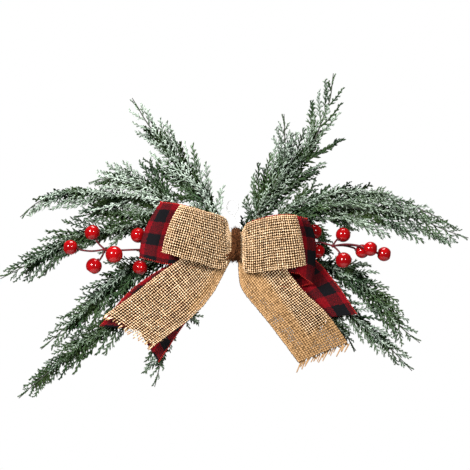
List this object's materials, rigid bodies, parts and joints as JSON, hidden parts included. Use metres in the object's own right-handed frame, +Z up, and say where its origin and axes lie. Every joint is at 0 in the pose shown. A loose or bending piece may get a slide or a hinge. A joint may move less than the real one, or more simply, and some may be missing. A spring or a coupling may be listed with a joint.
{
  "type": "christmas swag wreath",
  "caption": "Hanging swag of cedar sprays and red berries fanned from one tied bundle, with a burlap bow over a check bow and a wire eye at the back.",
  "frame": {"origin": "the inside of the top of the hanging eye, where a nail or hook bears", "axes": "+X to the viewer's right along the sprays, +Z up, -Y towards the viewer, out of the bow's front"},
  "size_m": [0.47, 0.0692, 0.3256],
  "materials": {
    "cedar_foliage": "matte, frosted tips",
    "berry_red": "high gloss",
    "berry_stem": "matte",
    "burlap": "coarse open weave, frayed cut ends",
    "check_cloth": "plain weave in red and black squares, stitched edges",
    "twine": "rough twisted fibre",
    "stem_tape": "matte paper tape",
    "wire": "plain drawn wire"
  },
  "bodies": {
    "root": {"stem_bundle": "stem_tape", "check_loops": "check_cloth", "check_tails": "check_cloth", "burlap_loops": "burlap", "burlap_tails": "burlap", "twine_tie": "twine", "hanging_wire": "wire", "berry_stem_left": "berry_stem", "berry_stem_right": "berry_stem", "berries_left_outer": "berry_red", "berries_left_inner": "berry_red", "berries_right_outer": "berry_red", "berries_right_inner": "berry_red", "spray_left_top": "cedar_foliage", "spray_left_high": "cedar_foliage", "spray_left_upper": "cedar_foliage", "spray_left_short": "cedar_foliage", "spray_left_middle": "cedar_foliage", "spray_left_lower": "cedar_foliage", "spray_left_bottom": "cedar_foliage", "spray_left_under": "cedar_foliage", "spray_right_top": "cedar_foliage", "spray_right_inner": "cedar_foliage", "spray_right_upper": "cedar_foliage", "spray_right_middle": "cedar_foliage", "spray_right_lower": "cedar_foliage", "spray_right_bottom": "cedar_foliage", "spray_right_under": "cedar_foliage"}
  },
  "joints": []
}
